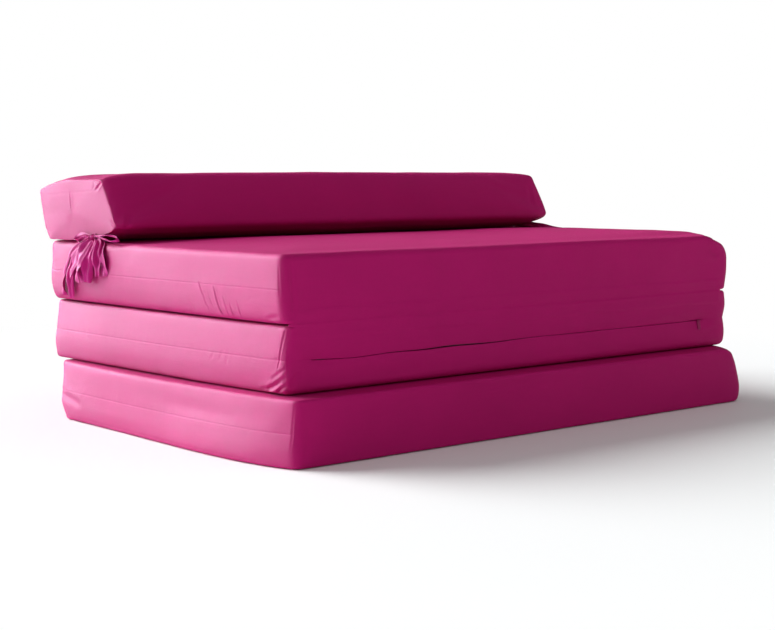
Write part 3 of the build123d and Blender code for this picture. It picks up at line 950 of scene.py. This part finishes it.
def bolster_ring(place, outline):
    """The bolster's section at a place along it, drawn in and shaped near the ends."""
    from_right = BOLSTER_LENGTH - place
    shares = dict(zip(BOLSTER_RINGS, BOLSTER_RING_SHARES))
    share = shares.get(place, shares.get(from_right, 1))
    y = BOLSTER_ANCHOR + (outline[:, 0] - BOLSTER_ANCHOR) * share
    z = outline[:, 1] * share
    off = np.hypot(y - BOLSTER_LOW_CORNER[0], z - BOLSTER_LOW_CORNER[1])
    near_end = bell(min(place, from_right) / BOLSTER_END_REACH)
    tuck = BOLSTER_LOW_TUCK * near_end * bell(off / BOLSTER_LOW_REACH)
    above = eased(z, *BOLSTER_MORE_SPAN)
    x = place + BOLSTER_RIGHT_MORE * above * bell(from_right / BOLSTER_RINGS[-1])
    near_ear = bell((y - BOLSTER_EAR[0]) / BOLSTER_EAR_REACH) * smooth(z / BOLSTER_EAR[1])
    z = z + BOLSTER_EAR_LIFT * near_ear * bell(place / BOLSTER_RINGS[-1])
    front_top = smooth((BOLSTER_PANEL_START - y) / BOLSTER_EAR_REACH) * smooth(z / BOLSTER_FRONT_TOP)
    z = z - BOLSTER_PANEL_DROP * front_top * bell(place / BOLSTER_PANEL_REACH)
    return np.stack([x, UPPER_REAR + y + tuck, BOLSTER_LEVEL + z + tuck / 2], axis=1)


def ring_faces(first, following, count):
    """Faces between two closed rings of points, from the numbers of their first points."""
    turns = [(s, (s + 1) % count) for s in range(count)]
    return [[first + s, first + t, following + t, following + s] for s, t in turns]


def end_panel(edge, first_edge, first_new, side):
    """Points and faces that close an end of the bolster with a slightly bulged panel."""
    count = len(edge)
    middle = edge.mean(axis=0)
    layers, faces = [], []
    for share in BOLSTER_PANEL_SHARES:
        layer = middle + (edge - middle) * share
        layer[:, 0] += side * BOLSTER_PANEL_BULGE * (1 - share**2)
        following = first_new + len(layers) * count
        faces += ring_faces(first_edge, following, count)
        layers.append(layer)
        first_edge = following
    tip = first_new + len(layers) * count
    faces += [[first_edge + s, first_edge + (s + 1) % count, tip] for s in range(count)]
    layers.append([middle + np.array([side * BOLSTER_PANEL_BULGE, 0, 0])])
    return np.concatenate(layers), [face[::side] for face in faces]


def make_bolster_shell():
    """The bolster's cover as a coarse closed mesh, with its points on the zip and on the end seams."""
    outline, zip_index = rounded_outline(BOLSTER_CORNERS, SECTION_SPACING, BOLSTER_ZIP_SEGMENT)
    inner = np.arange(BOLSTER_RINGS[-1], BOLSTER_LENGTH - BOLSTER_RINGS[-1], GRID_SPACING)[1:]
    ring_places = BOLSTER_RINGS + list(inner) + [BOLSTER_LENGTH - place for place in BOLSTER_RINGS[::-1]]
    count = len(outline)
    last_ring = (len(ring_places) - 1) * count
    points = np.concatenate([bolster_ring(place, outline) for place in ring_places])
    faces = []
    for first in range(0, last_ring, count):
        faces += ring_faces(first, first + count, count)
    number = np.arange(len(points))
    for side, first in ((-1, 0), (1, last_ring)):
        panel, panel_faces = end_panel(points[first : first + count], first, len(points), side)
        points = np.concatenate([points, panel])
        faces += panel_faces
    to_rear = eased(points[:, 1] - UPPER_REAR, BOLSTER_EAR_START, -BOLSTER_EAR_START)
    points[:, 0] -= BOLSTER_EAR_OUT * to_rear * bell(points[:, 0] / BOLSTER_RINGS[-1])
    elsewhere = np.zeros(len(points) - len(number), bool)
    on_zip = np.append(number % count == zip_index, elsewhere)
    on_end_seams = np.append((number < count) | (number >= last_ring), elsewhere)
    return new_object("bolster_cushion", points, faces), on_zip, on_end_seams


def dress_bolster(piece):
    """Works the creases and the unevenness into the bolster's fine mesh."""
    points = points_of(piece.data)
    normals = vertex_vectors(piece.data, "normal")
    push = crease_push(points, normals, BOLSTER_CREASES)
    for size, scale, seed in BOLSTER_UNEVENNESS:
        push += size * sampled_cloud(points, scale, seed)
    low = smooth((BOLSTER_LEVEL + BOLSTER_REST_HEIGHT - points[:, 2]) / BOLSTER_REST_FADE)
    push *= 1 - low * eased(points[:, 1], *BOLSTER_REST_SPAN)
    moved = points + normals * push[:, None]
    lowest = BOLSTER_LEVEL + np.where(points[:, 1] > BOLSTER_REST_SPAN[0], 0, BOLSTER_FRONT_GAP)
    moved[:, 2] = np.maximum(moved[:, 2], lowest)
    set_points(piece.data, moved)


def make_bolster(simulate):
    """The bolster in its cover: swollen, slit for its zip, refined and creased."""
    piece, on_zip, on_end_seams = make_bolster_shell()
    start = points_of(piece.data)
    resting = (start[:, 2] < BOLSTER_LEVEL + BOLSTER_HELD_HEIGHT) & (start[:, 1] > BOLSTER_HELD_START)
    if simulate:
        swell(piece, on_zip | on_end_seams | resting, BOLSTER_SWELL)
    lower, upper = [np.array(place) for place, radius in BOLSTER_CORNERS[BOLSTER_ZIP_SEGMENT :][:2]]
    rise_y, rise_z = unit(upper - lower)
    across, inward = (0, rise_y, rise_z), (0, -rise_z, rise_y)
    open_slit(piece, on_zip, BOLSTER_ZIP_ENDS, across, inward, BOLSTER_OPENINGS, 0)
    subdivide(piece, REFINEMENT)
    dress_bolster(piece)
    return piece


# Folds between the blocks
def surface_tree(pieces):
    """Search tree over the faces of several pieces."""
    points, faces = [], []
    for piece in pieces:
        first = len(points)
        points += [vertex.co for vertex in piece.data.vertices]
        faces += [[first + i for i in polygon.vertices] for polygon in piece.data.polygons]
    return BVHTree.FromPolygons(points, faces)


def surface_place(tree, start, direction):
    """First place on the surfaces from a start in millimetres, or None."""
    hit = tree.ray_cast(Vector(to_frame(start)), Vector(direction))[0]
    return np.array(hit) / MM + ORIGIN if hit else None


def grid_faces(rows, columns):
    """Faces of a grid of points stored row by row."""
    return [
        [r * columns + c, r * columns + c + 1, (r + 1) * columns + c + 1, (r + 1) * columns + c]
        for r in range(rows - 1)
        for c in range(columns - 1)
    ]


def thicken(piece, thickness):
    """Gives a strip of cloth its thickness and rounds it."""
    modifier = piece.modifiers.new("Thickness", "SOLIDIFY")
    modifier.thickness = thickness * MM
    modifier.offset = 0
    apply_modifiers(piece)
    subdivide(piece, 1)


def make_front_fold(cushions):
    """The cover's strip that runs on from the middle block's front to the top block's front."""
    tree = surface_tree([cushions["middle"], cushions["top"]])
    rows = []
    for height, off in FRONT_FOLD_PROFILE:
        probe = math.copysign(max(abs(height), FRONT_FOLD_CLEAR), height)
        row = []
        for x in np.linspace(FRONT_FOLD_START, FRONT_FOLD_END, FRONT_FOLD_COUNT):
            face = surface_place(tree, (x, IN_FRONT, FRONT_FOLD_LEVEL + probe), (0, 1, 0))
            y = SETBACK if face is None else face[1]
            from_end = min(x - FRONT_FOLD_START, FRONT_FOLD_END - x)
            tuck = FRONT_FOLD_TUCK * (1 - smooth(from_end / FRONT_FOLD_FADE))
            row.append((x, y + off + tuck, FRONT_FOLD_LEVEL + height))
        rows.append(row)
    points = np.array(rows).reshape(-1, 3)
    wave = FRONT_FOLD_WAVE * sampled_cloud(points, FRONT_FOLD_WAVE_SCALE, FRONT_FOLD_SEED)
    points[:, 2] += wave * bell((points[:, 2] - FRONT_FOLD_LEVEL) / FRONT_FOLD_WAVE_REACH)
    piece = new_object("front_fold_strip", points, grid_faces(len(rows), FRONT_FOLD_COUNT))
    thicken(piece, FRONT_FOLD_THICKNESS)
    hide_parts("front_hinge_lower_leaf", "front_hinge_upper_leaf")
    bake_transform(piece)
    return piece


def make_rear_fold():
    """The cover's strip that joins the bottom block's top to the middle block's underside."""
    places = np.linspace(REAR_FOLD_START, REAR_FOLD_END, REAR_FOLD_COUNT)
    points = np.array([(x, y, z) for y, z in REAR_FOLD_PROFILE for x in places])
    faces = grid_faces(len(REAR_FOLD_PROFILE), REAR_FOLD_COUNT)
    piece = new_object("rear_fold_strip", points, faces)
    thicken(piece, REAR_FOLD_THICKNESS)
    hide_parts("rear_hinge_lower_leaf", "rear_hinge_upper_leaf")
    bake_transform(piece)
    return piece


# Ties
def spline_points(path, count):
    """Points spread evenly along a smooth curve through the given ones."""
    path = np.array(path, float)
    padded = np.vstack([2 * path[0] - path[1], path, 2 * path[-1] - path[-2]])
    result = []
    for place in np.linspace(0, len(path) - 1, count):
        i = min(int(place), len(path) - 2)
        t = place - i
        a, b, c, d = padded[i : i + 4]
        curve = 2 * b + (c - a) * t + (2 * a - 5 * b + 4 * c - d) * t**2 + (3 * b - a - 3 * c + d) * t**3
        result.append(curve / 2)
    return np.array(result)


def by_stages(share, values):
    """Value along a ribbon from values spread evenly over its length."""
    return np.interp(share, np.linspace(0, 1, len(values)), values)


def unit_rows(vectors):
    """Each row of vectors at length 1."""
    return vectors / np.linalg.norm(vectors, axis=1)[:, None]


def ribbon(path, widths, facings, folds, seed):
    """Points and faces of a ribbon along a path, with its width direction and folding by stages."""
    line = spline_points(path, RIBBON_STEPS)
    share = np.linspace(0, 1, RIBBON_STEPS)
    wide = by_stages(share, widths)
    fold = by_stages(share, folds)
    facing = np.stack([by_stages(share, [way[axis] for way in facings]) for axis in range(3)], axis=1)
    tangent = unit_rows(np.gradient(line, axis=0))
    facing = unit_rows(facing - tangent * np.sum(facing * tangent, axis=1)[:, None])
    normal = np.cross(tangent, facing)
    curl = RIBBON_CURL * wide * np.sin(RIBBON_CURL_WAVE * share + RIBBON_CURL_SHIFT * seed)
    crumple = RIBBON_CRUMPLE * wide * np.sin(RIBBON_CRUMPLE_WAVE * share + seed)
    phase = RIBBON_FOLD_SHIFT * math.sin(seed) + RIBBON_FOLD_TWIST * share * math.cos(seed)
    rows = []
    for n in range(RIBBON_STEPS):
        for place in np.linspace(-1, 1, RIBBON_LINES):
            side = facing[n] * place * wide[n] / 2 * (1 - RIBBON_GATHER * fold[n])
            bend = RIBBON_FOLD_DEPTH * fold[n] * wide[n] * math.cos(RIBBON_FOLD_WAVE * place + phase[n])
            bend += crumple[n] * math.sin(RIBBON_CRUMPLE_SLANT * place + seed)
            rows.append(line[n] + side + normal[n] * (bend + curl[n] * place))
    return np.array(rows), grid_faces(RIBBON_STEPS, RIBBON_LINES)


def wound_band(middle, radii, width, tilt, seed):
    """Points and faces of a strip wound once round the knot."""
    turn = np.array(Matrix.Rotation(math.radians(tilt), 3, "X"))
    rows = []
    for n in range(BAND_STEPS + 1):
        angle = 2 * math.pi * n / BAND_STEPS
        lump = 1 + BAND_LUMP * math.sin(BAND_LUMP_COUNT * angle + seed)
        for place in np.linspace(-1, 1, BAND_LINES):
            size = lump * (1 - BAND_ROUNDING * place * place)
            spot = [place * width / 2, radii[0] * size * math.cos(angle), radii[1] * size * math.sin(angle)]
            rows.append(turn @ np.array(spot))
    closing = len(rows) - BAND_LINES
    faces = [[i % closing for i in face] for face in grid_faces(BAND_STEPS + 1, BAND_LINES)]
    return np.array(rows[:closing]) + np.array(middle), faces


def joined(name, parts):
    """One object from several sets of points and faces."""
    points, faces = [], []
    for some_points, some_faces in parts:
        faces += [[len(points) + i for i in face] for face in some_faces]
        points += list(some_points)
    return new_object(name, points, faces)


def tie_places(path, side, faces_x):
    """Ribbon places from (distance out, Y, Z), outwards from the face behind each one."""
    panel = BOLSTER_SIDES[side]
    outermost, direction = (min, -1) if side == "left" else (max, 1)
    places = []
    for out, y, z in path:
        behind = panel
        if z < SEAT_LEVEL:
            behind = outermost(faces_x(y, z), panel)
            out *= TAIL_OUT_SHARES[side]
        places.append((behind + direction * out, y, z))
    return places


def make_tie(side, tree):
    """The tied ribbons at one end: knot, loops, tails and the two straps that they join."""
    direction = -1 if side == "left" else 1

    def faces_x(y, z):
        beside = HALF_LENGTH + direction * BESIDE_REACH
        return surface_place(tree, (beside, y, z), (-direction, 0, 0))[0]

    def strips(table, first_seed):
        made = []
        for seed, (path, widths, facings, folds) in enumerate(table, first_seed):
            turned = [(direction * fx, fy, fz) for fx, fy, fz in facings]
            made.append(ribbon(tie_places(path, side, faces_x), widths, turned, folds, seed))
        return made

    middle = (BOLSTER_SIDES[side] + direction * KNOT_OUT, KNOT_Y, KNOT_Z)
    tables = (TAILS, LOOPS[side], SEAT_STRAP, BOLSTER_STRAP)
    tails, loops, seat_strap, bolster_strap = [strips(*each) for each in zip(tables, TIE_SEEDS)]
    parts = {
        "tails": tails,
        "loops": loops,
        "knot": [wound_band(middle, *band) for band in KNOT_BANDS],
        "seat_strap": seat_strap,
        "bolster_strap": bolster_strap,
    }
    pieces = {name: joined(f"{side}_tie_{name}_ribbon", made) for name, made in parts.items()}
    for name, piece in pieces.items():
        thicken(piece, RIBBON_THICKNESS)
        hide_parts(f"{side}_tie_{name}")
        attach(piece, "bolster" if name == "bolster_strap" else "top_block")
    return list(pieces.values())


# Materials
def set_inputs(tree, node, inputs):
    """Sets a node's inputs to plain values, or joins them to other nodes' sockets."""
    for key, value in inputs.items():
        if isinstance(value, bpy.types.NodeSocket):
            tree.links.new(value, node.inputs[key])
        else:
            node.inputs[key].default_value = value


def add_node(tree, kind, inputs):
    """New shader node with its inputs set or joined."""
    node = tree.nodes.new(f"ShaderNode{kind}")
    set_inputs(tree, node, inputs)
    return node


def shader_tree(name):
    """New material with its node tree and its principled shader."""
    material = bpy.data.materials.new(name)
    material.use_nodes = True
    tree = material.node_tree
    return material, tree, tree.nodes["Principled BSDF"]


def math_node(tree, operation, *values):
    """Arithmetic on sockets or numbers."""
    node = add_node(tree, "Math", dict(enumerate(values)))
    node.operation = operation
    return node.outputs[0]


def noise_node(tree, place, scale, detail, stretch=None):
    """Noise over the object, with features of 1/scale metres."""
    if stretch:
        place = add_node(tree, "Mapping", {"Scale": stretch, "Vector": place}).outputs["Vector"]
    return add_node(tree, "TexNoise", {"Scale": scale, "Detail": detail, "Vector": place}).outputs["Fac"]


def weave_height(tree, coordinates, pitch):
    """Height of a plain weave, laid on each face along the object's own axes."""
    split = add_node(tree, "SeparateXYZ", {0: coordinates.outputs["Object"]})
    facing = add_node(tree, "SeparateXYZ", {0: coordinates.outputs["Normal"]})
    waves = [
        math_node(tree, "SINE", math_node(tree, "MULTIPLY", split.outputs[axis], math.pi / pitch))
        for axis in range(3)
    ]
    total = None
    for axis in range(3):
        threads = math_node(tree, "MULTIPLY", waves[(axis + 1) % 3], waves[(axis + 2) % 3])
        weight = math_node(tree, "ABSOLUTE", facing.outputs[axis])
        part = math_node(tree, "MULTIPLY", threads, weight)
        total = part if total is None else math_node(tree, "ADD", total, part)
    return total


def about_half(tree, wave):
    """A wave from -1 to 1 turned into one about a half, as noise is."""
    return math_node(tree, "ADD", math_node(tree, "MULTIPLY", wave, 0.25), 0.5)


def tinted(tree, base, factor, low, high):
    """Base colour scaled between two levels by a factor socket."""
    start, end = NOISE_SPAN
    levels = {"From Min": start, "From Max": end, "To Min": low, "To Max": high, "Value": factor}
    spread = add_node(tree, "MapRange", levels)
    scaled = tree.nodes.new("ShaderNodeVectorMath")
    scaled.operation = "SCALE"
    set_inputs(tree, scaled, {0: base, "Scale": spread.outputs["Result"]})
    return scaled.outputs["Vector"]


def bump(tree, shader, heights):
    """Chains several bumps, each as (height, strength, distance), into a shader's normal."""
    normal = {}
    for height, strength, distance in heights:
        inputs = {"Strength": strength, "Distance": distance, "Height": height}
        normal = {"Normal": add_node(tree, "Bump", inputs | normal).outputs["Normal"]}
    set_inputs(tree, shader, normal)


def cotton(name, colour, pitch, roughness, gloss):
    """Plain woven cotton: fine threads, slubs, soft rumples, slightly uneven dye and painted shade between
    the threads.
    """
    material, tree, shader = shader_tree(name)
    coordinates = add_node(tree, "TexCoord", {})
    place = coordinates.outputs["Object"]
    weave = weave_height(tree, coordinates, pitch)
    clouds, slubs, warp, rumple = [noise_node(tree, place, *kind) for kind in (CLOUDS, SLUBS, WARP, RUMPLE)]
    threads = about_half(tree, weave)
    # The weave's own height darkens its hollows and lightens its raised threads: painted shade
    tints = [(clouds, CLOUD_TINT), (slubs, THREAD_TINT), (warp, THREAD_TINT), (threads, WEAVE_SHADE_TINT)]
    for factor, levels in tints:
        colour = tinted(tree, colour, factor, *levels)
    set_inputs(tree, shader, {"Base Color": colour, "Roughness": roughness, "Specular IOR Level": gloss})
    bump(tree, shader, [(rumple, *RUMPLE_BUMP), (slubs, *SLUB_BUMP), (weave, *WEAVE_BUMP)])
    return material


def zip_coil_material():
    """Moulded nylon coil: fine round teeth across the strand, with painted shade between the teeth."""
    material, tree, shader = shader_tree("zip_coil")
    split = add_node(tree, "SeparateXYZ", {0: add_node(tree, "TexCoord", {}).outputs["Object"]})
    teeth = math_node(tree, "SINE", math_node(tree, "MULTIPLY", split.outputs[0], 2 * math.pi / COIL_PITCH))
    # Painted shade between the teeth, from the same wave as their bump
    colour = tinted(tree, COIL_COLOUR, about_half(tree, teeth), *COIL_SHADE_TINT)
    set_inputs(tree, shader, {"Base Color": colour, "Roughness": COIL_ROUGHNESS})
    bump(tree, shader, [(teeth, *COIL_BUMP)])
    return material


def zip_metal_material():
    """Lacquered metal of the slider, pull and stops, with faint wear."""
    material, tree, shader = shader_tree("zip_metal")
    wear = noise_node(tree, add_node(tree, "TexCoord", {}).outputs["Object"], *METAL_WEAR)
    set_inputs(tree, shader, METAL_FINISH | {"Base Color": tinted(tree, METAL_COLOUR, wear, *METAL_TINT)})
    bump(tree, shader, [(wear, *METAL_BUMP)])
    return material


def use_material(piece, material):
    """Puts one material on a piece."""
    piece.data.materials.clear()
    piece.data.materials.append(material)


def finish_cad_zips(nodes, materials):
    """Better materials for the zips' CAD nodes."""
    for name in ZIP_NAMES:
        for part, kind in ZIP_PARTS.items():
            for slot in nodes[f"{name}_zip_{part}"].material_slots:
                slot.material = materials[kind]


# Studio
def make_floor():
    """Pale floor that fades, for the camera only, to plain white away from the sofa bed."""
    floor = new_object("floor", FLOOR_CORNERS, [[0, 1, 2, 3]], False)
    material, tree, shader = shader_tree("floor")
    set_inputs(tree, shader, FLOOR_FINISH | {"Base Color": (*FLOOR_COLOUR, 1)})
    distance = tree.nodes.new("ShaderNodeVectorMath")
    distance.operation = "LENGTH"
    set_inputs(tree, distance, {0: add_node(tree, "TexCoord", {}).outputs["Object"]})
    span = {"Value": distance.outputs["Value"], "From Min": FLOOR_FADE_START, "From Max": FLOOR_FADE_END}
    fade = add_node(tree, "MapRange", span)
    fade.interpolation_type = "SMOOTHSTEP"
    rays = add_node(tree, "LightPath", {})
    seen = math_node(tree, "MULTIPLY", fade.outputs["Result"], rays.outputs["Is Camera Ray"])
    white = add_node(tree, "Emission", {}).outputs["Emission"]
    blend = add_node(tree, "MixShader", {"Fac": seen, 1: shader.outputs["BSDF"], 2: white})
    set_inputs(tree, tree.nodes["Material Output"], {"Surface": blend.outputs["Shader"]})
    use_material(floor, material)


def make_surroundings():
    """White background for the camera and a faint even light from all round."""
    world = bpy.data.worlds.new("surroundings")
    world.use_nodes = True
    bpy.context.scene.world = world
    tree = world.node_tree
    rays = add_node(tree, "LightPath", {})
    seen = math_node(tree, "MAXIMUM", rays.outputs["Is Camera Ray"], rays.outputs["Is Transmission Ray"])
    level = tree.nodes.new("ShaderNodeMix")
    level.data_type = "FLOAT"
    set_inputs(tree, level, {"Factor": seen, "A": AMBIENT, "B": 1})
    light = {"Color": (1, 1, 1, 1), "Strength": level.outputs["Result"]}
    set_inputs(tree, tree.nodes["Background"], light)


def make_lamps():
    """Main and glossy light from behind on the left, and a faint fill light from the front."""
    for name, bearing, height, strength, spread, colour, diffuse, glossy in LIGHTS:
        lamp = bpy.data.lights.new(name, "SUN")
        lamp.energy = strength
        lamp.angle = math.radians(spread)
        lamp.color = colour
        holder = bpy.data.objects.new(name, lamp)
        holder.visible_diffuse = diffuse
        holder.visible_glossy = glossy
        bpy.context.scene.collection.objects.link(holder)
        turn, tilt = math.radians(bearing), math.radians(height)
        towards = Vector((math.sin(turn) * math.cos(tilt), math.cos(turn) * math.cos(tilt), math.sin(tilt)))
        holder.rotation_euler = towards.to_track_quat("Z", "Y").to_euler()


def make_camera():
    """Camera at the photograph's place."""
    data = bpy.data.cameras.new("camera")
    data.sensor_width = CAMERA_SENSOR
    data.lens = CAMERA_LENS
    camera = bpy.data.objects.new("camera", data)
    camera.location = CAMERA_PLACE
    camera.rotation_euler = [math.radians(angle) for angle in CAMERA_ANGLES]
    bpy.context.scene.collection.objects.link(camera)
    bpy.context.scene.camera = camera


def make_cushions(simulate):
    """The three blocks and the bolster, each in place of its cover and its foam."""
    cushions = {}
    for key, block in BLOCKS.items():
        cushion = make_block(block, simulate)
        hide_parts(f"{key}_cover_upper", f"{key}_cover_lower", f"{key}_foam")
        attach(cushion, f"{key}_block")
        cushions[key] = cushion
    bolster = make_bolster(simulate)
    ends = ("bolster_end_panel_left", "bolster_end_panel_right")
    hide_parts("bolster_wrap", "bolster_foam", *ends)
    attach(bolster, "bolster")
    cushions["bolster"] = bolster
    return cushions


def main():
    """Builds the studio and every piece in the frame."""
    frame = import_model()
    bpy.context.scene.view_settings.view_transform = "Standard"
    make_camera()
    make_floor()
    make_surroundings()
    make_lamps()
    materials = {kind: cotton(*look) for kind, look in COTTONS.items()}
    materials["coil"] = zip_coil_material()
    materials["metal"] = zip_metal_material()
    cushions = make_cushions(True)
    folds = [make_front_fold(cushions), make_rear_fold()]
    for piece in [*cushions.values(), *folds]:
        use_material(piece, materials["cover"])
    tree = surface_tree([cushions["top"]])
    for side in BOLSTER_SIDES:
        for piece in make_tie(side, tree):
            use_material(piece, materials["ribbon"])
    finish_cad_zips(frame["nodes"], materials)


main()
